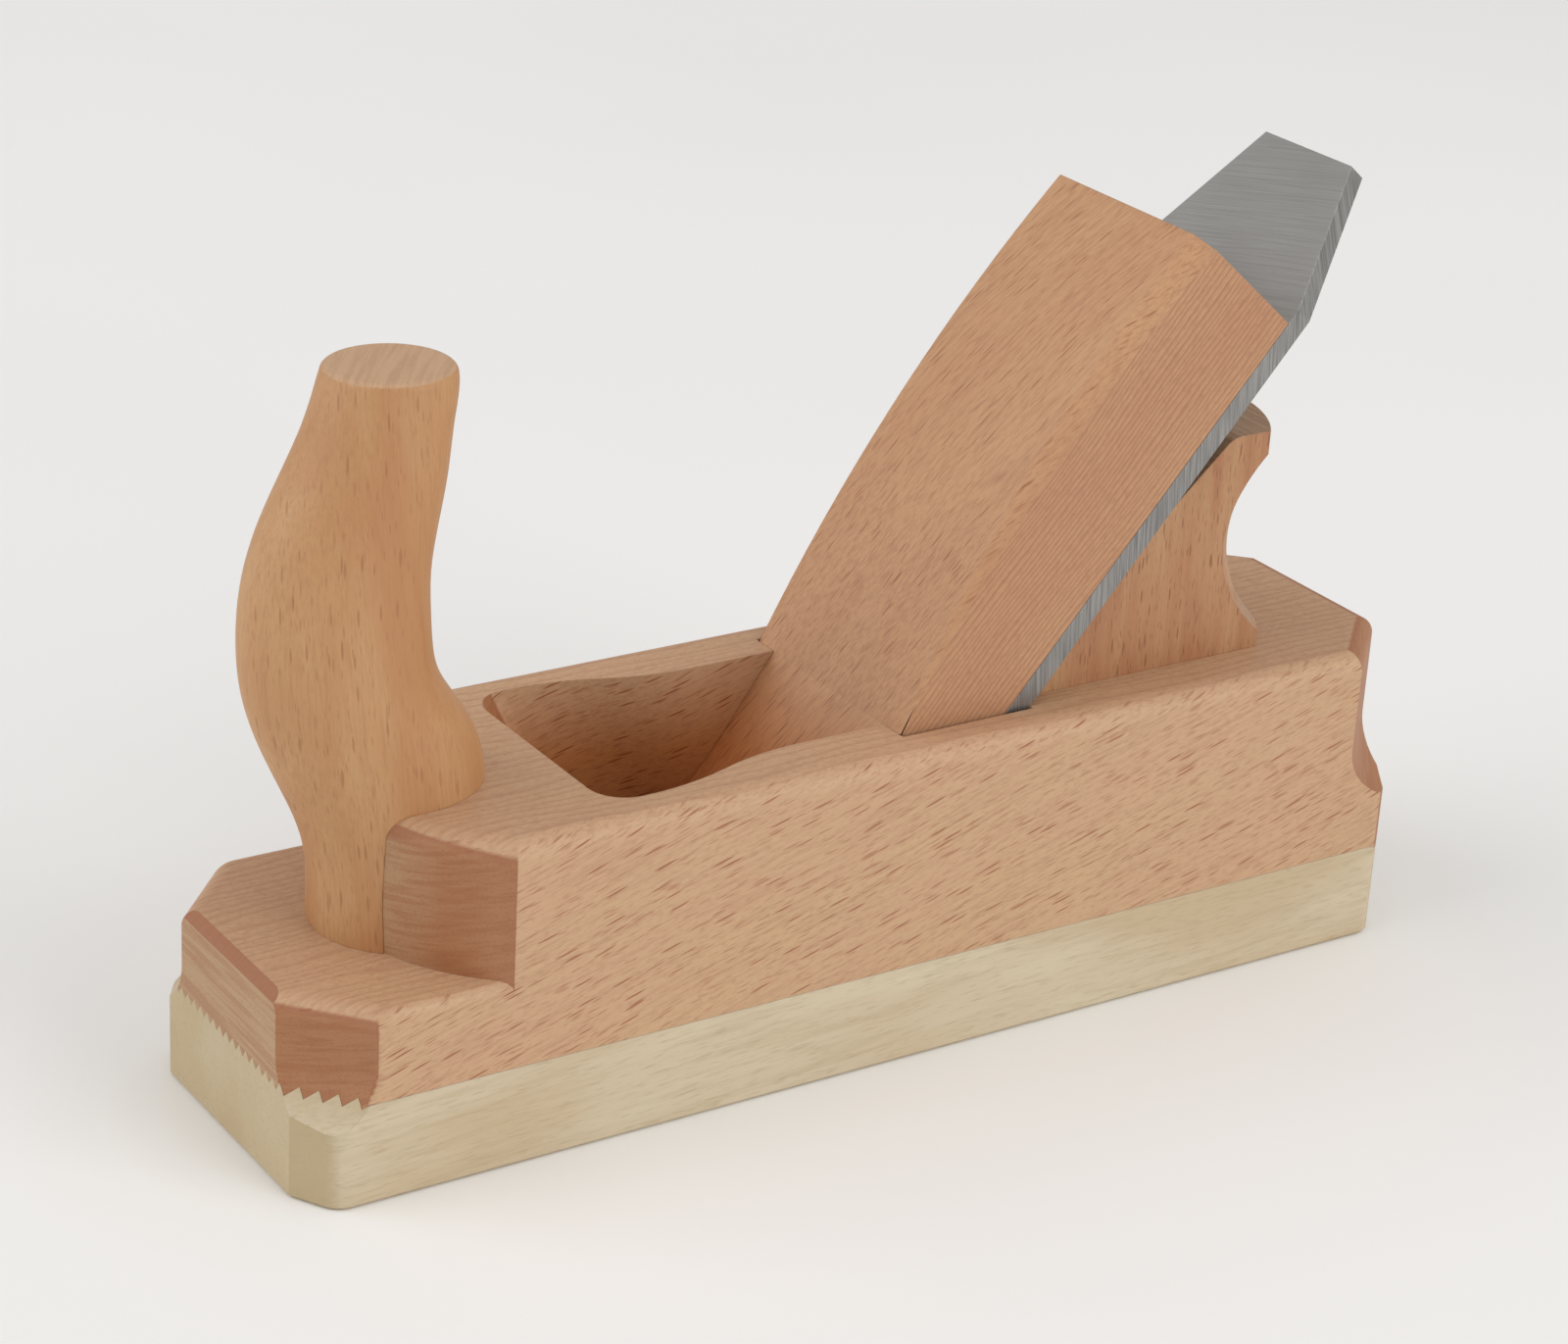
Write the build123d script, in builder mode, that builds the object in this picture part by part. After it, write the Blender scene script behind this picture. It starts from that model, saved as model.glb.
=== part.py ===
"""Wooden smoothing plane with a front horn, built as its separate pieces.

The row frame has its origin at the centre of the sole's face, +X towards the toe,
+Y towards the left-hand side of a person who pushes the plane, and +Z up.
"""

import os
from math import cos, radians, sin, sqrt, tan

from build123d import *

os.makedirs("parts", exist_ok=True)

# Driving dimensions, in millimetres and degrees
plane_length = 240.0
plane_width = 65.0
deck_height = 62.5
toe_deck_height = 36.5

joint_height = 19.5  # middle of the serrated glue line between body and sole
tooth_pitch = 2.6
tooth_depth = 1.8
sole_corner = (5.0, 8.5)  # chamfer legs along X and Y, and the same below
sole_corner_round = 5.0  # where that chamfer runs into the side
toe_corner = (12.6, 13.75)
heel_corner = (15.0, 14.5)
toe_runout_height = 25.0  # where each upper chamfer starts to flare out
heel_runout_height = 42.0
runout_radius = 13.0
deck_round = 4.0
toe_deck_round = 2.0
toe_edge_bevel = 1.8
sole_edge_bevel = 0.6

nose_radius = 39.0  # front end of the upper deck, seen from above
nose_center_x = 60.0

bed_angle = 49.2
bed_foot_x = 22.5  # where the bed plane meets the sole face
wedge_angle = 5.5  # between the bed and the abutments
abutment_top_x = -2.4  # abutment edge on the deck
slot_width = 49.6
cheek_width = 37.4  # throat width between the abutments
throat_width = 50.2
throat_front_x = 59.8
throat_corner_radius = 7.0
throat_curve_x = (52.0, 16.0)  # where the cheeks start and stop curving
mouth_front_x = 29.5

iron_width = 48.0
iron_thickness = 4.0
iron_length = 203.7
iron_shoulder = 29.5  # length of the tapered tang
iron_tang_width = 25.4
iron_bevel_angle = 28.0
edge_height = 0.2  # cutting edge above the sole face at rest
fit_gap = 0.05  # between iron, bed, wedge and abutments

wedge_width = 48.0
wedge_tip = 12.0  # lower end, measured up the bed from the sole face
wedge_tip_thickness = 2.0
wedge_bevel_length = 15.0
wedge_top = 168.0
wedge_head_distance = 33.0  # front of the wedge's head from the bed plane
wedge_swell_angle = 16.0  # slope of the front just above the deck, from the bed
wedge_bevel_stations = ((0.0, 0.05), (0.5, 2.6), (1.0, 3.8))  # place up the front, bevel

horn_top_height = 139.2
horn_edge_round = 1.5
# height, rear x, front x and half width of each station of the horn
horn_stations = (
    (toe_deck_height, 72.0, 103.2, 16.4),
    (46.0, 72.0, 103.4, 15.9),
    (55.5, 72.0, 105.5, 15.1),
    (65.0, 72.1, 109.7, 14.6),
    (74.5, 75.4, 113.9, 14.6),
    (84.0, 81.4, 116.5, 14.4),
    (93.5, 83.0, 117.1, 14.1),
    (103.0, 83.2, 116.1, 13.6),
    (112.0, 81.8, 113.3, 13.0),
    (121.0, 80.2, 108.8, 12.5),
    (130.0, 79.2, 104.5, 11.9),
    (horn_top_height, 78.9, 101.5, 11.3),
)

guard_width = 40.0
guard_height = 107.0
guard_axis_x = -62.5
guard_foot_radius = 32.5
guard_foot_height = 66.0
guard_tip_radius = 31.0
guard_tip_height = 102.3
guard_waist_radius = 24.9
guard_relief_height = 76.0  # above this the front leans away from the iron
guard_top_front_x = -77.5
guard_top_round = 5.0

horn_dowel_x = 90.0
horn_dowel_radius = 6.0
horn_dowel_length = 36.0
guard_dowel_radius = 4.0
guard_dowel_length = 36.0
guard_dowel_x = (-52.0, -76.0)

overrun = 5.0  # how far the cutting profiles pass beyond the wood

# Worked-out dimensions
half_length = plane_length / 2
half_width = plane_width / 2
bed_cos = cos(radians(bed_angle))
bed_sin = sin(radians(bed_angle))
abutment_slope = tan(radians(bed_angle + wedge_angle))
throat_slope = (throat_front_x - mouth_front_x) / deck_height
iron_front = fit_gap + iron_thickness  # distance from the bed plane
wedge_back = iron_front + fit_gap

# Local x runs up the bed and local y stands out of it, with z along +Y
bed_profile_plane = Plane(
    origin=(bed_foot_x, 0, 0), x_dir=(-bed_cos, 0, bed_sin), z_dir=(0, 1, 0)
)
# Local x runs up the bed and local y runs across the plane, with z out of the bed
bed_face_plane = Plane(
    origin=(bed_foot_x, 0, 0), x_dir=(-bed_cos, 0, bed_sin), z_dir=(bed_sin, 0, bed_cos)
)


def bed_x(height):
    """X of the bed plane at a height."""
    return bed_foot_x - height * bed_cos / bed_sin


def abutment_x(height):
    """X of the abutment plane at a height."""
    return abutment_top_x + (deck_height - height) / abutment_slope


def throat_front(height):
    """X of the throat's front wall at a height."""
    return mouth_front_x + height * throat_slope


# Blank: the outline that body and sole share, with its small corner chamfers
with BuildSketch() as blank_outline:
    with BuildLine():
        Polyline(
            (half_length, 0),
            (half_length, half_width - sole_corner[1]),
            (half_length - sole_corner[0], half_width),
            (0, half_width),
        )
        mirror(about=Plane.YZ)
        mirror(about=Plane.XZ)
    make_face()
    rows = blank_outline.vertices().group_by(Axis.Y)
    side_corners = [row.sort_by(Axis.X)[end] for row in (rows[0], rows[-1]) for end in (0, -1)]
    fillet(side_corners, sole_corner_round)

# Corner cutters: each takes off a large chamfer that flares out into the sole's own
corner_cutters = []
for end, legs, runout_height in (
    (1, toe_corner, toe_runout_height),
    (-1, heel_corner, heel_runout_height),
):
    for side in (1, -1):
        diagonal = sqrt(legs[0] ** 2 + legs[1] ** 2)
        outward = Vector(end * legs[1] / diagonal, side * legs[0] / diagonal, 0)
        middle = Vector(end * (half_length - legs[0] / 2), side * (half_width - legs[1] / 2), 0)
        cutter_plane = Plane(origin=middle, x_dir=outward, z_dir=outward.cross(Vector(0, 0, 1)))
        with BuildPart() as corner_cutter:
            with BuildSketch(cutter_plane):
                with BuildLine():
                    Line((0, deck_height + overrun), (0, runout_height))
                    CenterArc(
                        (runout_radius, runout_height), runout_radius, start_angle=180, arc_size=90
                    )
                    Polyline(
                        (runout_radius, runout_height - runout_radius),
                        (runout_radius, deck_height + overrun),
                        (0, deck_height + overrun),
                    )
                make_face()
            extrude(amount=diagonal, both=True)
        corner_cutters.append(corner_cutter.part)

# Sawtooth glue line: everything below the joint, as a lengthwise bar
tooth_count = round(plane_width / tooth_pitch)
with BuildPart() as below_joint:
    with BuildSketch(Plane.YZ):
        with BuildLine():
            teeth = [(-half_width, joint_height)]
            for tooth in range(tooth_count):
                start = -half_width + tooth * tooth_pitch
                teeth.append((start + tooth_pitch / 4, joint_height + tooth_depth / 2))
                teeth.append((start + tooth_pitch * 3 / 4, joint_height - tooth_depth / 2))
            teeth.append((half_width, joint_height))
            Polyline(*teeth)
            Polyline(teeth[-1], (half_width, 0), (-half_width, 0), teeth[0])
        make_face()
    extrude(amount=half_length, both=True)

# Throat and slot: the space that holds the iron and the wedge and lets the shavings out
with BuildPart() as throat:
    with BuildSketch(Plane.XY.offset(deck_height)):
        with BuildLine():
            curve_middle = (sum(throat_curve_x) / 2, (throat_width + cheek_width) / 4)
            Line((throat_front_x, 0), (throat_front_x, throat_width / 2 - throat_corner_radius))
            CenterArc(
                (throat_front_x - throat_corner_radius, throat_width / 2 - throat_corner_radius),
                throat_corner_radius,
                start_angle=0,
                arc_size=90,
            )
            Line(
                (throat_front_x - throat_corner_radius, throat_width / 2),
                (throat_curve_x[0], throat_width / 2),
            )
            TangentArc((throat_curve_x[0], throat_width / 2), curve_middle, tangent=(-1, 0))
            TangentArc(
                (throat_curve_x[1], cheek_width / 2), curve_middle, tangent=(1, 0)
            )
            Polyline(
                (throat_curve_x[1], cheek_width / 2),
                (abutment_top_x - overrun, cheek_width / 2),
                (abutment_top_x - overrun, 0),
            )
            mirror(about=Plane.XZ)
        make_face()
    extrude(amount=deck_height * sqrt(1 + throat_slope**2), dir=(-throat_slope, 0, -1))
    with BuildSketch(Plane.XZ):
        with BuildLine():
            Polyline(
                (abutment_x(deck_height + overrun), deck_height + overrun),
                (abutment_x(-overrun), -overrun),
                (-half_length, -overrun),
                (-half_length, deck_height + overrun),
                close=True,
            )
        make_face()
    extrude(amount=half_width, both=True, mode=Mode.SUBTRACT)
    meeting_height = (abutment_x(0) - mouth_front_x) / (throat_slope + 1 / abutment_slope)
    with BuildSketch(Plane.XZ):
        with BuildLine():
            Polyline(
                (bed_x(-overrun), -overrun),
                (throat_front(-overrun), -overrun),
                (throat_front(meeting_height), meeting_height),
                (abutment_x(deck_height + overrun), deck_height + overrun),
                (bed_x(deck_height + overrun), deck_height + overrun),
                close=True,
            )
        make_face()
    extrude(amount=slot_width / 2, both=True)

# Dowels that fix the horn and the hand guard
with BuildPart() as horn_dowel:
    with BuildSketch(Plane.XY.offset(deck_height - horn_dowel_length / 2)):
        with Locations((horn_dowel_x, 0)):
            Circle(horn_dowel_radius)
    extrude(amount=horn_dowel_length)
horn_dowel.part.label = "horn_dowel"
export_step(horn_dowel.part, "parts/horn_dowel.step")

with BuildPart() as guard_dowels:
    with BuildSketch(Plane.XY.offset(deck_height - guard_dowel_length / 2)):
        with Locations(*[(x, 0) for x in guard_dowel_x]):
            Circle(guard_dowel_radius)
    extrude(amount=guard_dowel_length)
guard_dowels.part.label = "guard_dowels"
export_step(guard_dowels.part, "parts/guard_dowels.step")

# Body: the beech block with its stepped deck, rounded nose, chamfers and throat
with BuildPart() as body:
    add(extrude(blank_outline.sketch, amount=deck_height, mode=Mode.PRIVATE))
    for cutter in corner_cutters:
        add(cutter, mode=Mode.SUBTRACT)
    with BuildSketch(Plane.XY.offset(toe_deck_height)):
        with Locations((nose_center_x + half_length, 0)):
            Rectangle(plane_length, plane_width)
        with Locations((nose_center_x, 0)):
            Circle(nose_radius, mode=Mode.SUBTRACT)
    extrude(amount=deck_height, mode=Mode.SUBTRACT)
    deck_edges = body.faces().filter_by(Axis.Z).sort_by(Axis.Z)[-1].edges()
    fillet(deck_edges, deck_round)
    toe_deck = (
        body.faces().filter_by(Axis.Z).filter_by_position(Axis.Z, toe_deck_height, toe_deck_height)
    )
    straight_edges = toe_deck.edges().filter_by(GeomType.LINE)
    corner_edges = straight_edges - straight_edges.filter_by(Axis.X) - straight_edges.filter_by(Axis.Y)
    fillet(corner_edges, deck_round)
    toe_deck = (
        body.faces().filter_by(Axis.Z).filter_by_position(Axis.Z, toe_deck_height, toe_deck_height)
    )
    side_edges = toe_deck.edges().filter_by(Axis.X)
    fillet(side_edges, toe_deck_round)
    with BuildSketch(Plane.XZ):
        with BuildLine():
            Polyline(
                (half_length - toe_edge_bevel - overrun, toe_deck_height + overrun),
                (half_length + overrun, toe_deck_height - toe_edge_bevel - overrun),
                (half_length + overrun, toe_deck_height + overrun),
                close=True,
            )
        make_face()
    extrude(amount=half_width, both=True, mode=Mode.SUBTRACT)
    add(below_joint.part, mode=Mode.SUBTRACT)
    add(throat.part, mode=Mode.SUBTRACT)
    add(horn_dowel.part, mode=Mode.SUBTRACT)
    add(guard_dowels.part, mode=Mode.SUBTRACT)
body.part.label = "body"
export_step(body.part, "parts/body.step")

# Sole: the hornbeam slab glued under the body on the serrated joint
with BuildPart() as sole:
    add(extrude(blank_outline.sketch, amount=joint_height + tooth_depth, mode=Mode.PRIVATE))
    for cutter in corner_cutters:
        add(cutter, mode=Mode.SUBTRACT)
    chamfer(sole.faces().sort_by(Axis.Z)[0].edges(), sole_edge_bevel)
    add(below_joint.part, mode=Mode.INTERSECT)
    add(throat.part, mode=Mode.SUBTRACT)
sole.part.label = "sole"
export_step(sole.part, "parts/sole.step")

# Horn: an oval grip that stands on both decks and fits round the nose
with BuildPart() as horn:
    for height, rear_x, front_x, half_breadth in horn_stations:
        with BuildSketch(Plane(origin=((rear_x + front_x) / 2, 0, height))):
            Ellipse((front_x - rear_x) / 2, half_breadth)
    loft()
    fillet(horn.faces().sort_by(Axis.Z)[-1].edges(), horn_edge_round)
    add(body.part, mode=Mode.SUBTRACT)
    add(horn_dowel.part, mode=Mode.SUBTRACT)
horn.part.label = "horn"
export_step(horn.part, "parts/horn.step")

# Turned rear of the hand guard: a waisted solid about an upright axis, square in front
with BuildPart() as guard_turning:
    with BuildSketch(Plane.XZ):
        with BuildLine():
            Polyline(
                (guard_axis_x, deck_height),
                (guard_axis_x - guard_foot_radius, deck_height),
                (guard_axis_x - guard_foot_radius, guard_foot_height),
            )
            ThreePointArc(
                (guard_axis_x - guard_foot_radius, guard_foot_height),
                (guard_axis_x - guard_waist_radius, (guard_foot_height + guard_tip_height) / 2),
                (guard_axis_x - guard_tip_radius, guard_tip_height),
            )
            Polyline(
                (guard_axis_x - guard_tip_radius, guard_tip_height),
                (guard_axis_x - guard_tip_radius, guard_height),
                (guard_axis_x, guard_height),
                (guard_axis_x, deck_height),
            )
        make_face()
    revolve(axis=Axis((guard_axis_x, 0, 0), (0, 0, 1)))
    with BuildSketch(Plane.XY.offset(deck_height)):
        with Locations((guard_axis_x / 2, 0)):
            Rectangle(-guard_axis_x, plane_width)
    extrude(amount=guard_height - deck_height)

# Hand guard: the rest for the hand behind the iron
with BuildPart() as hand_guard:
    with BuildSketch(Plane.XZ) as guard_profile:
        with BuildLine():
            Polyline(
                (bed_x(deck_height), deck_height),
                (bed_x(guard_relief_height), guard_relief_height),
                (guard_top_front_x, guard_height),
                (-half_length, guard_height),
                (-half_length, deck_height),
                close=True,
            )
        make_face()
        top_front = guard_profile.vertices().group_by(Axis.Y)[-1].sort_by(Axis.X)[-1]
        fillet(top_front, guard_top_round)
    extrude(amount=guard_width / 2, both=True)
    add(guard_turning.part, mode=Mode.INTERSECT)
    add(guard_dowels.part, mode=Mode.SUBTRACT)
hand_guard.part.label = "hand_guard"
export_step(hand_guard.part, "parts/hand_guard.step")

# Iron: a single thick cutter with a tapered tang, ground to an edge at the bed side
edge_start = (edge_height - iron_front * bed_cos) / bed_sin
iron_top = edge_start + iron_length
with BuildPart() as iron:
    with BuildSketch(bed_face_plane.offset(fit_gap)):
        with BuildLine():
            Polyline(
                (edge_start, 0),
                (edge_start, iron_width / 2),
                (iron_top - iron_shoulder, iron_width / 2),
                (iron_top, iron_tang_width / 2),
                (iron_top, 0),
            )
            mirror(about=bed_profile_plane)
        make_face()
    extrude(amount=iron_thickness)
    with BuildSketch(bed_profile_plane):
        with BuildLine():
            Polyline(
                (edge_start, iron_front),
                (edge_start + iron_thickness / tan(radians(iron_bevel_angle)), fit_gap),
                (edge_start - overrun, fit_gap),
                (edge_start - overrun, iron_front),
                close=True,
            )
        make_face()
    extrude(amount=iron_width, both=True, mode=Mode.SUBTRACT)
iron.part.label = "iron"
export_step(iron.part, "parts/iron.step")


def abutment_distance(along):
    """Distance of the abutment plane from the bed plane, at a place along the bed."""
    foot = (abutment_x(0) - bed_foot_x) * bed_sin
    foot_along = -(abutment_x(0) - bed_foot_x) * bed_cos
    return foot + (along - foot_along) * tan(radians(wedge_angle))


deck_along = deck_height * bed_sin + (bed_foot_x - abutment_top_x) * bed_cos
deck_distance = abutment_distance(deck_along) - fit_gap
bevel_end = wedge_tip + wedge_bevel_length

# Front of the wedge above the deck, as places up the bed and distances from it
with BuildLine() as wedge_swell:
    swell = TangentArc(
        (deck_along, deck_distance),
        (wedge_top, wedge_head_distance),
        tangent=(cos(radians(wedge_swell_angle)), sin(radians(wedge_swell_angle))),
    )

# Bevels on the wedge's two front edges, running out to nothing at the deck
edge_bevels = []
for side in (1, -1):
    with BuildPart() as edge_bevel:
        for place, bevel in wedge_bevel_stations:
            front = swell @ place
            station_origin = bed_profile_plane.from_local_coords((front.X, 0, 0))
            station = Plane(
                origin=station_origin, x_dir=(0, -1, 0), z_dir=bed_profile_plane.x_dir
            )
            with BuildSketch(station):
                with BuildLine():
                    Polyline(
                        (side * (wedge_width / 2 - bevel - overrun), front.Y + overrun),
                        (side * (wedge_width / 2 + overrun), front.Y - bevel - overrun),
                        (side * (wedge_width / 2 + overrun), front.Y + overrun),
                        close=True,
                    )
                make_face()
        loft()
    edge_bevels.append(edge_bevel.part)

# Wedge: it jams the iron between bed and abutments, and swells above the deck
with BuildPart() as wedge:
    with BuildSketch(bed_profile_plane):
        with BuildLine():
            Polyline(
                (deck_along, deck_distance),
                (bevel_end, abutment_distance(bevel_end) - fit_gap),
                (wedge_tip, wedge_back + wedge_tip_thickness),
                (wedge_tip, wedge_back),
                (wedge_top, wedge_back),
                (wedge_top, wedge_head_distance),
            )
            add(wedge_swell.line)
        make_face()
    extrude(amount=wedge_width / 2, both=True)
    for cutter in edge_bevels:
        add(cutter, mode=Mode.SUBTRACT)
wedge.part.label = "wedge"
export_step(wedge.part, "parts/wedge.step")
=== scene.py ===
"""Looks of a wooden smoothing plane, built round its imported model.

The plane is put together in the order of the sections: the sole, the body glued on it, the horn
and the hand guard on their dowels, the iron on its bed, and the wedge that holds the iron. Metres
everywhere, except where a name ends in _mm.
"""

from math import cos, radians, sin

import bpy
from mathutils import Matrix, Vector


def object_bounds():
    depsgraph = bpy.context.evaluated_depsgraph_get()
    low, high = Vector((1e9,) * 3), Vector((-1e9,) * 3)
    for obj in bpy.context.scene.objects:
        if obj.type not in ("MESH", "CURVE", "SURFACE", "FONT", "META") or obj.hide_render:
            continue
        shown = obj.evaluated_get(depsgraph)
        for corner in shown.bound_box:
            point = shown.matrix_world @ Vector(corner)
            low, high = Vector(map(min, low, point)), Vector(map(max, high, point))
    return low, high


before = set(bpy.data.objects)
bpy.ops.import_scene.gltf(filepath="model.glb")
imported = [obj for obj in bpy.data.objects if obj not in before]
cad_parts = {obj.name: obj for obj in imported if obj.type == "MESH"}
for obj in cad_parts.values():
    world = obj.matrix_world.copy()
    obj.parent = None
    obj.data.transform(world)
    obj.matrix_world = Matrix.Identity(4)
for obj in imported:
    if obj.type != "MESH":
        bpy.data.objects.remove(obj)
cad_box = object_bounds()


# ---------------------------------------------------------------------------------------------
# Sole. The real one is a slab of hornbeam, planed flat and glued under the body on a serrated
# joint. The wood is dense and even, so the eye gets a pale straw colour with faint long streaks.
# ---------------------------------------------------------------------------------------------
EDGE_BREAK = 0.0003  # what a few strokes of fine sandpaper take off a corner
MM_PER_METRE = 1000.0


def linear(hex_colour):
    """sRGB hex to the linear colour, with alpha, that the shaders use."""
    channels = [int(hex_colour[i:i + 2], 16) / 255 for i in (1, 3, 5)]
    return tuple(
        c / 12.92 if c <= 0.04045 else ((c + 0.055) / 1.055) ** 2.4 for c in channels
    ) + (1,)


def add_node(tree, kind, settings=None, inputs=None, stops=None):
    """Adds a node with its settings. An input is a value or another node's output to link."""
    node = tree.nodes.new(kind)
    for name, value in (settings or {}).items():
        setattr(node, name, value)
    for socket, value in (inputs or {}).items():
        if isinstance(value, bpy.types.NodeSocket):
            tree.links.new(value, node.inputs[socket])
        else:
            node.inputs[socket].default_value = value
    for index, (place, colour) in enumerate(stops or []):
        elements = node.color_ramp.elements
        element = elements[index] if index < len(elements) else elements.new(place)
        element.position = place
        element.color = colour
    return node


def grey(value):
    """A grey for a ramp's stop."""
    return (value, value, value, 1)


def grain_axes(tree, along, across, waver_mm):
    """Places in a board, in millimetres: along the grain, out through the rings, and round them.

    The grain wavers by up to about a third of waver_mm either way. The second list holds how far
    a face looks along the grain, and how far out through the rings, each from 0 to 1.
    """
    along = Vector(along).normalized()
    around = along.cross(Vector(across)).normalized()
    through = around.cross(along)
    place = add_node(tree, "ShaderNodeTexCoord")
    scaled = add_node(
        tree, "ShaderNodeVectorMath", {"operation": "SCALE"},
        {"Vector": place.outputs["Object"], "Scale": MM_PER_METRE},
    )
    waver = add_node(
        tree, "ShaderNodeTexNoise", {},
        {"Vector": scaled.outputs[0], "Scale": 0.016, "Detail": 1.0},
    )
    centred = add_node(
        tree, "ShaderNodeVectorMath", {"operation": "SUBTRACT"},
        {0: waver.outputs["Color"], 1: (0.5, 0.5, 0.5)},
    )
    bent = add_node(
        tree, "ShaderNodeVectorMath", {"operation": "MULTIPLY_ADD"},
        {0: centred.outputs[0], 1: (waver_mm, waver_mm, waver_mm), 2: scaled.outputs[0]},
    )
    axes = [
        add_node(
            tree, "ShaderNodeVectorMath", {"operation": "DOT_PRODUCT"},
            {0: bent.outputs[0], 1: tuple(axis)},
        ).outputs["Value"]
        for axis in (along, through, around)
    ]
    facing = [
        add_node(
            tree, "ShaderNodeMath", {"operation": "ABSOLUTE"},
            {0: add_node(
                tree, "ShaderNodeVectorMath", {"operation": "DOT_PRODUCT"},
                {0: place.outputs["Normal"], 1: tuple(axis)},
            ).outputs["Value"]},
        ).outputs[0]
        for axis in (along, through)
    ]
    return axes, facing


def grain_scaled(tree, axes, sizes_mm):
    """The place in a board, with a pattern's size along each of its axes as the unit."""
    place = add_node(
        tree, "ShaderNodeCombineXYZ", {}, {"X": axes[0], "Y": axes[1], "Z": axes[2]}
    )
    inverse = tuple(1 / size for size in sizes_mm)
    return add_node(
        tree, "ShaderNodeVectorMath", {"operation": "MULTIPLY"},
        {0: place.outputs[0], 1: inverse},
    ).outputs[0]


def tinted(tree, base, tint, amount):
    """Base, with some of a tint mixed in by an amount that differs from place to place."""
    return add_node(
        tree, "ShaderNodeMix", {"data_type": "RGBA", "blend_type": "MIX"},
        {"Factor": amount, 6: base, 7: tint},
    ).outputs[2]


def product(tree, first, second):
    """Two amounts multiplied."""
    return add_node(
        tree, "ShaderNodeMath", {"operation": "MULTIPLY"}, {0: first, 1: second}
    ).outputs[0]


def broken_edges(tree):
    """The way a face looks, with its sharp corners drawn as broken by sandpaper."""
    return add_node(
        tree, "ShaderNodeBevel", {"samples": 6}, {"Radius": EDGE_BREAK}
    ).outputs[0]


hornbeam = bpy.data.materials.new("planed_hornbeam")
hornbeam.use_nodes = True
tree = hornbeam.node_tree
tree.nodes.clear()
axes, facing = grain_axes(tree, (1, 0, -0.05), (0, 1, 0.25), waver_mm=5.0)
patches = add_node(
    tree, "ShaderNodeTexNoise", {},
    {"Vector": grain_scaled(tree, axes, (70, 14, 14)), "Scale": 1.0, "Detail": 3.0},
)
streaks = add_node(
    tree, "ShaderNodeTexNoise", {},
    {"Vector": grain_scaled(tree, axes, (24, 1.3, 1.3)), "Scale": 1.0, "Detail": 4.0},
)
pale = add_node(
    tree, "ShaderNodeValToRGB", {}, {0: patches.outputs["Fac"]},
    [(0.36, linear("#d4c6aa")), (0.5, linear("#cfbea1")), (0.66, linear("#c7b290"))],
)
streak_amount = add_node(
    tree, "ShaderNodeValToRGB", {}, {0: streaks.outputs["Fac"]},
    [(0.48, grey(0.0)), (0.75, grey(0.3))],
)
colour = tinted(tree, pale.outputs[0], linear("#a88f66"), streak_amount.outputs[0])
flecks = add_node(
    tree, "ShaderNodeTexNoise", {},
    {"Vector": grain_scaled(tree, axes, (4.0, 1.2, 0.45)), "Scale": 1.0, "Detail": 3.0},
)
fleck_amount = add_node(
    tree, "ShaderNodeValToRGB", {}, {0: flecks.outputs["Fac"]},
    [(0.52, grey(0.0)), (0.76, grey(0.4))],
)
colour = tinted(tree, colour, linear("#a3875c"), fleck_amount.outputs[0])
end_amount = add_node(
    tree, "ShaderNodeValToRGB", {}, {0: facing[0]},
    [(0.4, grey(0.0)), (0.85, grey(0.85)), (0.97, grey(0.6))],
)
colour = tinted(tree, colour, linear("#b8a37c"), end_amount.outputs[0])
relief = add_node(
    tree, "ShaderNodeBump", {},
    {"Height": streaks.outputs["Fac"], "Strength": 0.12, "Distance": 0.0002,
     "Normal": broken_edges(tree)},
)
shader = add_node(
    tree, "ShaderNodeBsdfPrincipled", {},
    {"Base Color": colour, "Normal": relief.outputs[0], "Roughness": 0.52, "IOR": 1.5},
)
add_node(tree, "ShaderNodeOutputMaterial", {}, {"Surface": shader.outputs[0]})
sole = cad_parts["sole"]
sole.material_slots[0].material = hornbeam


# ---------------------------------------------------------------------------------------------
# Body. The real one is a block of steamed beech, milled to shape and sanded, with its throat cut
# through to the mouth. Its sides are cut across the rays, which end there as short brown dashes.
# ---------------------------------------------------------------------------------------------
RING_WAVER = 4.0  # how many rings' widths the rings wander by, at most
SMALL_DASH = 0.62  # the size of a small dash beside a long one
PAINTED_SHADE_TOP = 0.062  # the height where the painted shade in the throat starts to come in
PAINTED_SHADE_FULL = 0.046  # the height below which the painted shade in the throat is full
# Painted shade: the deeper, more orange tint that the wood in the throat is multiplied by,
# standing for shade and bounced light
THROAT_PAINTED_SHADE = "#f0c79a"


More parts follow.
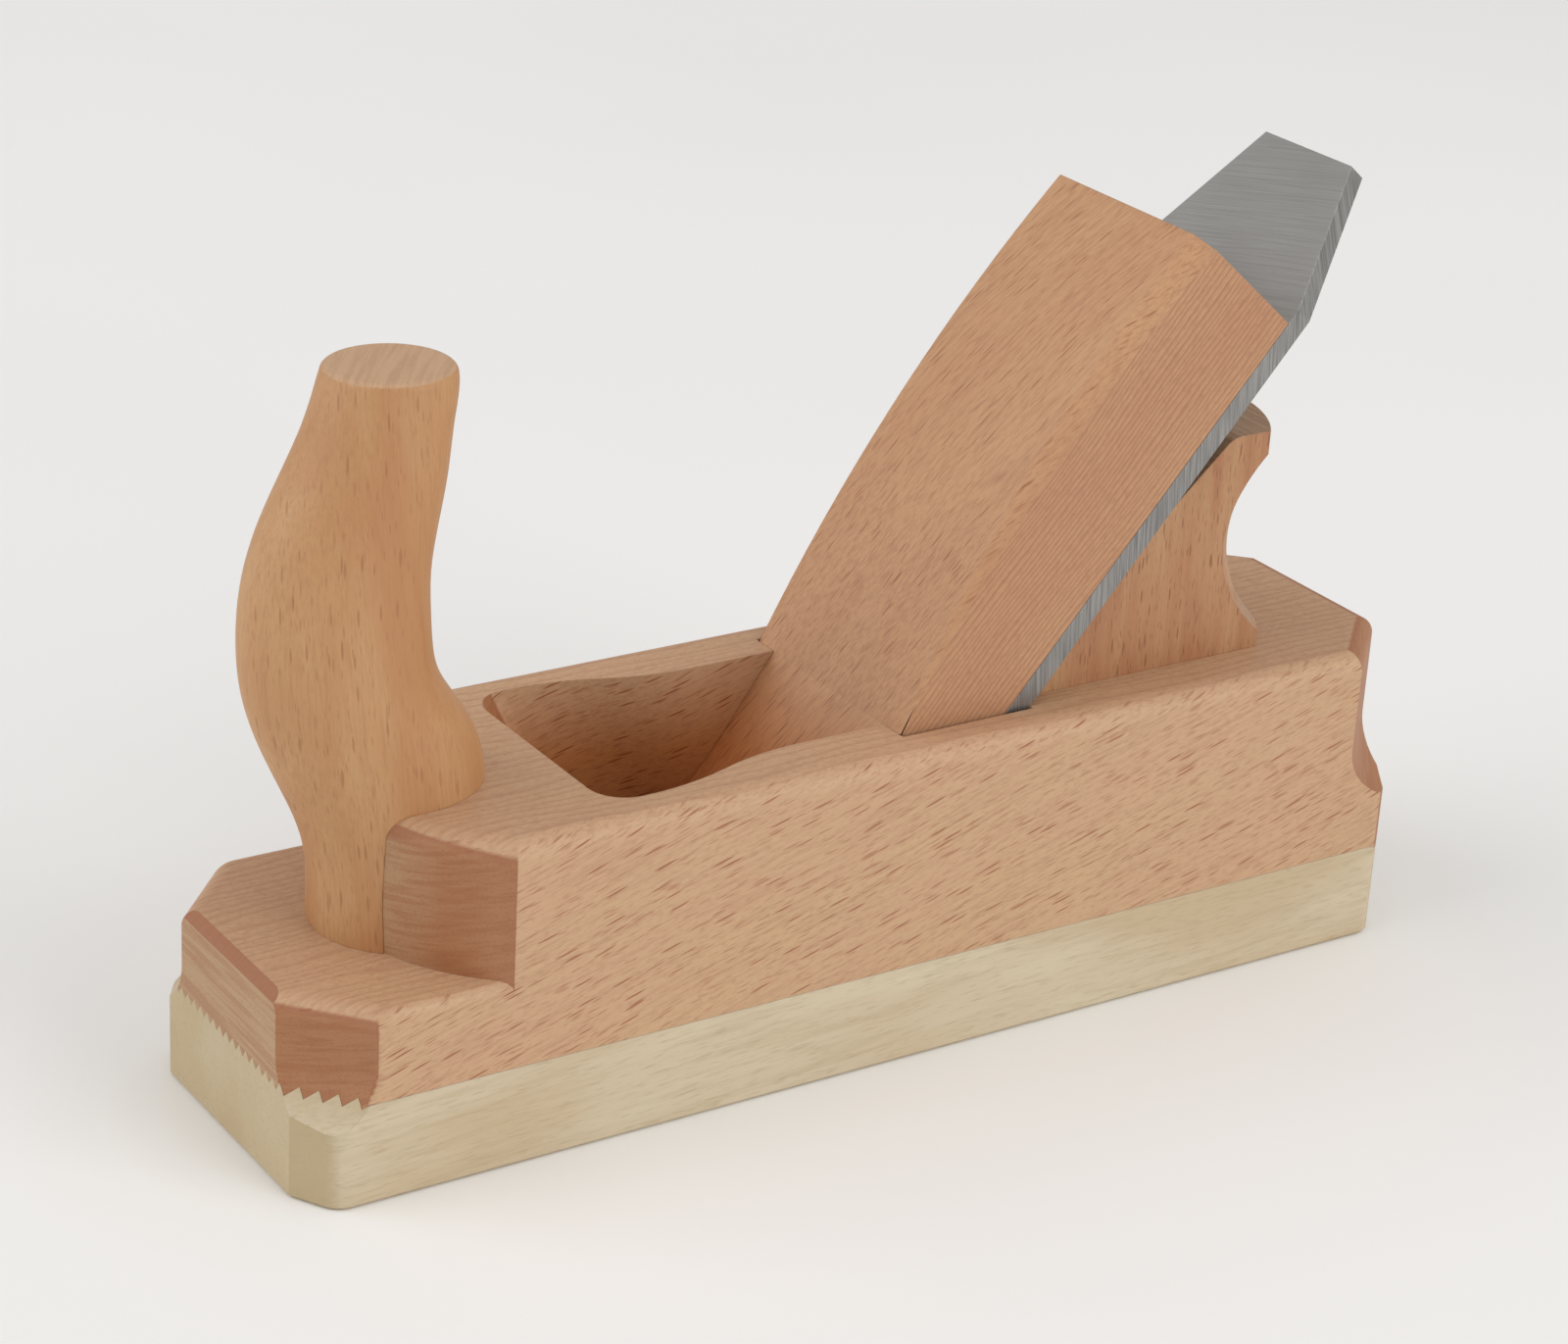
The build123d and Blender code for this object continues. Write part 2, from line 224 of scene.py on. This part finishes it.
def steamed_beech(
    name, along, across, shades, dash_mm, ring_mm, dash_strength, ring_strength,
    end_from=0.36, patch_mm=14.0, painted_shade_mm=None,
):
    """Sanded steamed beech.

    It gives the eye a warm tan, brown dashes where the rays end, thin lines where a face shows
    the rings on edge, and a darker, redder end grain.

    shades are its pale, pink, dash and ring colours, and those of a cut at about 30, 45 and 70
    or more degrees to the grain. dash_mm is the size of a long dash along the grain, through the
    rings and round them. end_from is how far a face looks along the grain, from 0 to 1, when end
    grain starts to show. painted_shade_mm is the middle in X, and the reach in X and Y, of the
    part in
    the throat, where a painted shade goes: a fixed deeper, more orange tint stands for the shade
    there and the light bounced off the wood around it, so it stays on a piece that is drawn out.
    """
    pale_shade, pink_shade, dash_shade, ring_shade, low_cut, slant_cut, square_cut = [
        linear(shade) for shade in shades
    ]
    material = bpy.data.materials.new(name)
    material.use_nodes = True
    tree = material.node_tree
    tree.nodes.clear()
    axes, facing = grain_axes(tree, along, across, waver_mm=5.0)

    # Broad patches, a little pinker or paler
    patches = add_node(
        tree, "ShaderNodeTexNoise", {},
        {"Vector": grain_scaled(tree, axes, (70, patch_mm, patch_mm)), "Scale": 1.0,
         "Detail": 3.0},
    )
    base = add_node(
        tree, "ShaderNodeValToRGB", {}, {0: patches.outputs["Fac"]},
        [(0.36, pale_shade), (0.64, pink_shade)],
    ).outputs[0]

    # Fine fibres, on every face
    fibres = add_node(
        tree, "ShaderNodeTexNoise", {},
        {"Vector": grain_scaled(tree, axes, (18, 0.6, 0.6)), "Scale": 1.0, "Detail": 3.0},
    )
    fibre_amount = add_node(
        tree, "ShaderNodeValToRGB", {}, {0: fibres.outputs["Fac"]},
        [(0.45, grey(0.0)), (0.75, grey(0.4))],
    ).outputs[0]
    base = tinted(tree, base, ring_shade, fibre_amount)

    # Pores, a fine speckle between the dashes
    pores = add_node(
        tree, "ShaderNodeTexNoise", {},
        {"Vector": grain_scaled(tree, axes, (1.8, 0.33, 0.33)), "Scale": 1.0, "Detail": 2.0},
    )
    pore_amount = add_node(
        tree, "ShaderNodeValToRGB", {}, {0: pores.outputs["Fac"]},
        [(0.5, grey(0.0)), (0.75, grey(0.55 * dash_strength))],
    ).outputs[0]
    base = tinted(tree, base, ring_shade, pore_amount)

    # Year rings, seen only where a face cuts them on edge
    ring_waver = add_node(
        tree, "ShaderNodeTexNoise", {},
        {"Vector": grain_scaled(tree, axes, (90, 9, 30)), "Scale": 1.0, "Detail": 2.0},
    )
    ring_count = add_node(
        tree, "ShaderNodeMath", {"operation": "MULTIPLY_ADD"},
        {0: axes[1], 1: 1 / ring_mm, 2: product(tree, ring_waver.outputs["Fac"], RING_WAVER)},
    )
    ring_place = add_node(
        tree, "ShaderNodeMath", {"operation": "FRACT"}, {0: ring_count.outputs[0]}
    )
    ring_shape = add_node(
        tree, "ShaderNodeValToRGB", {}, {0: ring_place.outputs[0]},
        [(0.0, grey(0.25)), (0.5, grey(0.3)), (0.88, grey(1.0)), (1.0, grey(0.25))],
    ).outputs[0]
    on_edge = add_node(
        tree, "ShaderNodeValToRGB", {}, {0: facing[1]},
        [(0.3, grey(ring_strength)), (0.75, grey(0.0))],
    ).outputs[0]
    base = tinted(tree, base, ring_shade, product(tree, ring_shape, on_edge))

    # Ends of the rays: long and small dashes, clearest where a face looks out through the rings
    rays = add_node(
        tree, "ShaderNodeTexVoronoi", {"feature": "F1"},
        {"Vector": grain_scaled(tree, axes, dash_mm), "Scale": 1.0, "Randomness": 1.0},
    )
    ray_shape = add_node(
        tree, "ShaderNodeValToRGB", {}, {0: rays.outputs["Distance"]},
        [(0.15, grey(1.0)), (0.25, grey(0.0))],
    ).outputs[0]
    ray_chance = add_node(
        tree, "ShaderNodeSeparateColor", {}, {0: rays.outputs["Color"]}
    ).outputs[0]
    ray_depth = add_node(
        tree, "ShaderNodeValToRGB", {}, {0: ray_chance}, [(0.1, grey(0.4)), (0.6, grey(1.0))]
    ).outputs[0]
    small_rays = add_node(
        tree, "ShaderNodeTexVoronoi", {"feature": "F1"},
        {"Vector": grain_scaled(tree, axes, [size * SMALL_DASH for size in dash_mm]),
         "Scale": 1.0},
    )
    small_shape = add_node(
        tree, "ShaderNodeValToRGB", {}, {0: small_rays.outputs["Distance"]},
        [(0.14, grey(0.65)), (0.25, grey(0.0))],
    ).outputs[0]
    ray_amount = add_node(
        tree, "ShaderNodeMath", {"operation": "MAXIMUM"},
        {0: product(tree, ray_shape, ray_depth), 1: small_shape},
    ).outputs[0]
    flat_cut = add_node(
        tree, "ShaderNodeValToRGB", {}, {0: facing[1]},
        [(0.25, grey(0.1 * dash_strength)), (0.7, grey(dash_strength))],
    ).outputs[0]
    ray_amount = product(tree, ray_amount, flat_cut)
    base = tinted(tree, base, dash_shade, ray_amount)

    # End grain: darkest on a slanting cut, with the rays as bands and fine pores between them
    bands = add_node(
        tree, "ShaderNodeTexNoise", {},
        {"Vector": grain_scaled(tree, axes, (7, 20, 0.85)), "Scale": 1.0, "Detail": 2.0},
    )
    band_amount = add_node(
        tree, "ShaderNodeValToRGB", {}, {0: bands.outputs["Fac"]},
        [(0.42, grey(0.0)), (0.62, grey(0.45 * dash_strength))],
    ).outputs[0]
    cut_shade = add_node(
        tree, "ShaderNodeValToRGB", {}, {0: facing[0]},
        [(0.46, low_cut), (0.6, slant_cut), (0.76, slant_cut), (0.94, square_cut)],
    ).outputs[0]
    end_colour = tinted(tree, cut_shade, dash_shade, band_amount)
    end_colour = tinted(tree, end_colour, dash_shade, pore_amount)
    end_amount = add_node(
        tree, "ShaderNodeValToRGB", {}, {0: facing[0]},
        [(end_from, grey(0.0)), (end_from + 0.1, grey(0.8)), (end_from + 0.3, grey(1.0))],
    ).outputs[0]
    base = tinted(tree, base, end_colour, end_amount)

    # Painted shade and bounced light: the wood in the throat is multiplied by a fixed deeper,
    # more orange tint that stands for the shade there and the light bounced off the wood around
    # it
    if painted_shade_mm:
        place = add_node(tree, "ShaderNodeTexCoord")
        x, y, z = add_node(
            tree, "ShaderNodeSeparateXYZ", {}, {0: place.outputs["Object"]}
        ).outputs
        middle_x, reach_x, reach_y = [size / MM_PER_METRE for size in painted_shade_mm]
        within_x = add_node(
            tree, "ShaderNodeMath", {"operation": "COMPARE"}, {0: x, 1: middle_x, 2: reach_x}
        ).outputs[0]
        within_y = add_node(
            tree, "ShaderNodeMath", {"operation": "COMPARE"}, {0: y, 1: 0.0, 2: reach_y}
        ).outputs[0]
        depth = add_node(
            tree, "ShaderNodeMapRange", {},
            {"Value": z, "From Min": PAINTED_SHADE_TOP, "From Max": PAINTED_SHADE_FULL,
             "To Min": 0.0, "To Max": 1.0},
        ).outputs[0]
        painted_throat_shade = product(tree, product(tree, within_x, within_y), depth)
        base = add_node(
            tree, "ShaderNodeMix", {"data_type": "RGBA", "blend_type": "MULTIPLY"},
            {"Factor": painted_throat_shade, 6: base, 7: linear(THROAT_PAINTED_SHADE)},
        ).outputs[2]

    height = add_node(
        tree, "ShaderNodeMath", {"operation": "MULTIPLY_ADD"},
        {0: ray_amount, 1: -0.6, 2: fibres.outputs["Fac"]},
    )
    relief = add_node(
        tree, "ShaderNodeBump", {},
        {"Height": height.outputs[0], "Strength": 0.16, "Distance": 0.0002,
         "Normal": broken_edges(tree)},
    )
    shader = add_node(
        tree, "ShaderNodeBsdfPrincipled", {},
        {"Base Color": base, "Normal": relief.outputs[0], "Roughness": 0.55, "IOR": 1.5},
    )
    add_node(tree, "ShaderNodeOutputMaterial", {}, {"Surface": shader.outputs[0]})
    return material


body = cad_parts["body"]
body.material_slots[0].material = steamed_beech(
    "sanded_steamed_beech_body",
    along=(-1, 0, 0.3),
    across=(0, 1, 0),
    shades=("#cba680", "#cba37f", "#96552f", "#a8775a", "#9a5c3a", "#aa7650", "#b6946f"),
    dash_mm=(11.0, 4.2, 0.88),
    ring_mm=2.3,
    dash_strength=0.85,
    ring_strength=0.5,
    # painted shade in the throat: a deeper, more orange tint standing for shade and bounced light
    painted_shade_mm=(29.0, 31.0, 26.0),
)


# ---------------------------------------------------------------------------------------------
# Horn. The real one is beech too, bandsawn and shaped by hand, and glued on a dowel round the
# nose of the body. Its grain stands upright, and the sanding leaves it smooth and a little deeper
# in colour.
# ---------------------------------------------------------------------------------------------
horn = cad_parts["horn"]
horn.material_slots[0].material = steamed_beech(
    "sanded_steamed_beech_horn",
    along=(0.08, 0, 1),
    across=(0.75, 1, 0),
    shades=("#c6996a", "#b98355", "#8c522d", "#a8744a", "#c8a27f", "#c8a27f", "#c8a27f"),
    dash_mm=(8.0, 6.0, 1.1),
    ring_mm=7.0,
    dash_strength=0.42,
    ring_strength=0.15,
    end_from=0.62,
)
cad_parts["horn_dowel"].material_slots[0].material = steamed_beech(
    "turned_beech_dowel",
    along=(0, 0, 1),
    across=(0, 1, 0),
    shades=("#cba581", "#cca283", "#9a5a38", "#a87a56", "#aa7650", "#aa7650", "#b6946f"),
    dash_mm=(7.0, 6.0, 1.2),
    ring_mm=2.4,
    dash_strength=0.6,
    ring_strength=0.4,
)


# ---------------------------------------------------------------------------------------------
# Hand guard. The real one is beech, turned at the rear, cut to the slope of the bed in front, and
# glued on two dowels. Its upright grain has redder stripes and close rows of dashes.
# ---------------------------------------------------------------------------------------------
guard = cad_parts["hand_guard"]
guard.material_slots[0].material = steamed_beech(
    "sanded_steamed_beech_guard",
    along=(0.03, 0, 1),
    across=(0, 1, 0),
    shades=("#c0956b", "#ab734e", "#875232", "#9c6a46", "#b59272", "#b59272", "#bf9b7b"),
    dash_mm=(7.0, 6.0, 0.95),
    ring_mm=4.0,
    dash_strength=0.8,
    ring_strength=0.45,
    patch_mm=8.0,
)
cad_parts["guard_dowels"].material_slots[0].material = (
    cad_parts["horn_dowel"].material_slots[0].material
)


# ---------------------------------------------------------------------------------------------
# Iron. The real one is a thick plate of tool steel, hardened and surface ground. The wheel leaves
# fine lines across it, so it shines softly along its length and stays grey.
# ---------------------------------------------------------------------------------------------
BED_ANGLE = radians(49.2)
SCRATCH_TILT = 0.24  # how far the wheel's lines climb the bed for each step across it
STONED_EDGE = 0.00015  # what a stroke of a fine stone takes off a steel corner
SHARP_ANGLE = radians(28)  # a corner that turns by more than this is broken
WELD_REACH = 0.000002
up_the_bed = Vector((-cos(BED_ANGLE), 0, sin(BED_ANGLE)))
out_of_the_bed = Vector((sin(BED_ANGLE), 0, cos(BED_ANGLE)))


def soften_edges(node, width):
    """Breaks a node's sharp corners, as its maker did with sandpaper or a stone."""
    weld = node.modifiers.new("weld", "WELD")
    weld.merge_threshold = WELD_REACH
    bevel = node.modifiers.new("edge_break", "BEVEL")
    bevel.width = width
    bevel.segments = 2
    bevel.limit_method = "ANGLE"
    bevel.angle_limit = SHARP_ANGLE
    bevel.use_clamp_overlap = False
    bevel.harden_normals = True


steel = bpy.data.materials.new("surface_ground_tool_steel")
steel.use_nodes = True
tree = steel.node_tree
tree.nodes.clear()
axes, _ = grain_axes(
    tree, Vector((0, 1, 0)) + SCRATCH_TILT * up_the_bed, out_of_the_bed, waver_mm=1.5
)
scratches = add_node(
    tree, "ShaderNodeTexNoise", {},
    {"Vector": grain_scaled(tree, axes, (22, 0.3, 0.3)), "Scale": 1.0, "Detail": 3.0},
)
clouds = add_node(
    tree, "ShaderNodeTexNoise", {},
    {"Vector": grain_scaled(tree, axes, (30, 20, 20)), "Scale": 1.0, "Detail": 2.0},
)
grey_steel = add_node(
    tree, "ShaderNodeValToRGB", {}, {0: clouds.outputs["Fac"]},
    [(0.3, linear("#9a9895")), (0.7, linear("#a5a3a0"))],
)
line_amount = add_node(
    tree, "ShaderNodeValToRGB", {}, {0: scratches.outputs["Fac"]},
    [(0.4, grey(0.0)), (0.8, grey(0.5))],
)
colour = tinted(tree, grey_steel.outputs[0], linear("#85827f"), line_amount.outputs[0])
# The narrow sides are ground with a slanting hatch instead
hatch_axes, side_facing = grain_axes(
    tree, up_the_bed + out_of_the_bed, (0, 1, 0), waver_mm=1.0
)
hatch = add_node(
    tree, "ShaderNodeTexNoise", {},
    {"Vector": grain_scaled(tree, hatch_axes, (12, 12, 0.35)), "Scale": 1.0, "Detail": 2.0},
)
side_grey = add_node(
    tree, "ShaderNodeValToRGB", {}, {0: hatch.outputs["Fac"]},
    [(0.35, linear("#7d7b79")), (0.65, linear("#a3a19e"))],
)
side_amount = add_node(
    tree, "ShaderNodeValToRGB", {}, {0: side_facing[1]}, [(0.4, grey(0.0)), (0.8, grey(0.9))]
)
colour = tinted(tree, colour, side_grey.outputs[0], side_amount.outputs[0])
roughness = add_node(
    tree, "ShaderNodeMapRange", {},
    {"Value": scratches.outputs["Fac"], "To Min": 0.38, "To Max": 0.55},
)
relief = add_node(
    tree, "ShaderNodeBump", {},
    {"Height": scratches.outputs["Fac"], "Strength": 0.2, "Distance": 0.0001},
)
shader = add_node(
    tree, "ShaderNodeBsdfPrincipled", {},
    {"Base Color": colour, "Metallic": 1.0, "Roughness": roughness.outputs[0],
     "Normal": relief.outputs[0]},
)
add_node(tree, "ShaderNodeOutputMaterial", {}, {"Surface": shader.outputs[0]})
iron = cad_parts["iron"]
iron.material_slots[0].material = steel
soften_edges(iron, STONED_EDGE)


# ---------------------------------------------------------------------------------------------
# Wedge. The real one is beech, sawn to its taper and sanded, and driven in by hand. Its front is
# cut across the rays, so it carries the dashes, and its sides show the rings as straight lines.
# ---------------------------------------------------------------------------------------------
SANDED_EDGE = 0.0002
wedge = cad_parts["wedge"]
wedge.material_slots[0].material = steamed_beech(
    "sanded_steamed_beech_wedge",
    along=up_the_bed + Vector((0, 0.3, 0)),
    across=out_of_the_bed,
    shades=("#ca9b72", "#c6956d", "#955736", "#9c684c", "#b58e6c", "#b58e6c", "#bd9674"),
    dash_mm=(9.5, 4.4, 0.78),
    ring_mm=1.1,
    dash_strength=0.75,
    ring_strength=0.75,
    # painted shade on the part of the wedge in the throat, standing for shade and bounced light;
    # it stays on the wedge when drawn out
    painted_shade_mm=(0.0, 60.0, 30.0),
)
soften_edges(wedge, SANDED_EDGE)


# ---------------------------------------------------------------------------------------------
# Studio. A floor of matt white paper, which takes soft shadows, in an evenly white room. Three
# big softboxes light it: off the heel on the near side, off the toe, and overhead.
# ---------------------------------------------------------------------------------------------
FLOOR_HALF = 6.0
FLOOR_GAP = 0.0001  # keeps the floor from lying in the sole's face
floor_mesh = bpy.data.meshes.new("floor")
floor_mesh.from_pydata(
    [(-FLOOR_HALF, -FLOOR_HALF, 0), (FLOOR_HALF, -FLOOR_HALF, 0),
     (FLOOR_HALF, FLOOR_HALF, 0), (-FLOOR_HALF, FLOOR_HALF, 0)],
    [], [(0, 1, 2, 3)],
)
floor = bpy.data.objects.new("floor", floor_mesh)
floor.location.z = cad_box[0].z - FLOOR_GAP
bpy.context.scene.collection.objects.link(floor)
paper = bpy.data.materials.new("white_paper_sweep")
paper.use_nodes = True
tree = paper.node_tree
tree.nodes.clear()
fine_tooth = add_node(tree, "ShaderNodeTexNoise", {}, {"Scale": 40.0, "Detail": 2.0})
white = add_node(
    tree, "ShaderNodeValToRGB", {}, {0: fine_tooth.outputs["Fac"]},
    [(0.3, linear("#f6f5f3")), (0.7, linear("#f9f8f6"))],
)
shader = add_node(
    tree, "ShaderNodeBsdfPrincipled", {}, {"Base Color": white.outputs[0], "Roughness": 0.9}
)
add_node(tree, "ShaderNodeOutputMaterial", {}, {"Surface": shader.outputs[0]})
floor_mesh.materials.append(paper)

room = bpy.data.worlds.new("soft_white_room")
room.use_nodes = True
room.node_tree.nodes["Background"].inputs["Color"].default_value = (1, 1, 1, 1)
room.node_tree.nodes["Background"].inputs["Strength"].default_value = 0.45
bpy.context.scene.world = room
bpy.context.scene.view_settings.view_transform = "Standard"

LAMP_DISTANCE = 3.0
middle = (cad_box[0] + cad_box[1]) / 2
for name, direction, size, power in (
    ("heel_side_softbox", (-0.5, 1.0, 0.5), 2.2, 37.5),
    ("toe_side_softbox", (1.0, -0.4, 0.55), 3.2, 42.5),
    ("overhead_softbox", (-0.1, 0.1, 1.0), 2.7, 19.0),
):
    lamp = bpy.data.lights.new(name, "AREA")
    lamp.size = size
    lamp.energy = power
    holder = bpy.data.objects.new(name, lamp)
    outward = Vector(direction).normalized()
    holder.location = middle + outward * LAMP_DISTANCE
    holder.rotation_euler = outward.to_track_quat("Z", "Y").to_euler()
    bpy.context.scene.collection.objects.link(holder)

# The camera stands off the toe, on the near side, and looks a little down
VIEW_AZIMUTH = radians(145.84)
VIEW_ELEVATION = radians(23.42)
VIEW_ROLL = radians(3.36)
VIEW_DISTANCE = 0.7244
look_at = Vector((0.0074, 0.0007, 0.0687))
backward = Vector(
    (sin(VIEW_AZIMUTH) * cos(VIEW_ELEVATION), -cos(VIEW_AZIMUTH) * cos(VIEW_ELEVATION),
     sin(VIEW_ELEVATION))
)
camera = bpy.data.cameras.new("camera")
camera.lens = 90.52
camera.sensor_width = 36.0
camera.shift_x = -0.0024
camera.shift_y = -0.0033
tripod = bpy.data.objects.new("camera", camera)
upright = (-backward).to_track_quat("-Z", "Y").to_matrix().to_4x4()
tripod.matrix_world = (
    Matrix.Translation(look_at + backward * VIEW_DISTANCE)
    @ upright
    @ Matrix.Rotation(VIEW_ROLL, 4, "Z")
)
bpy.context.scene.collection.objects.link(tripod)
bpy.context.scene.camera = tripod
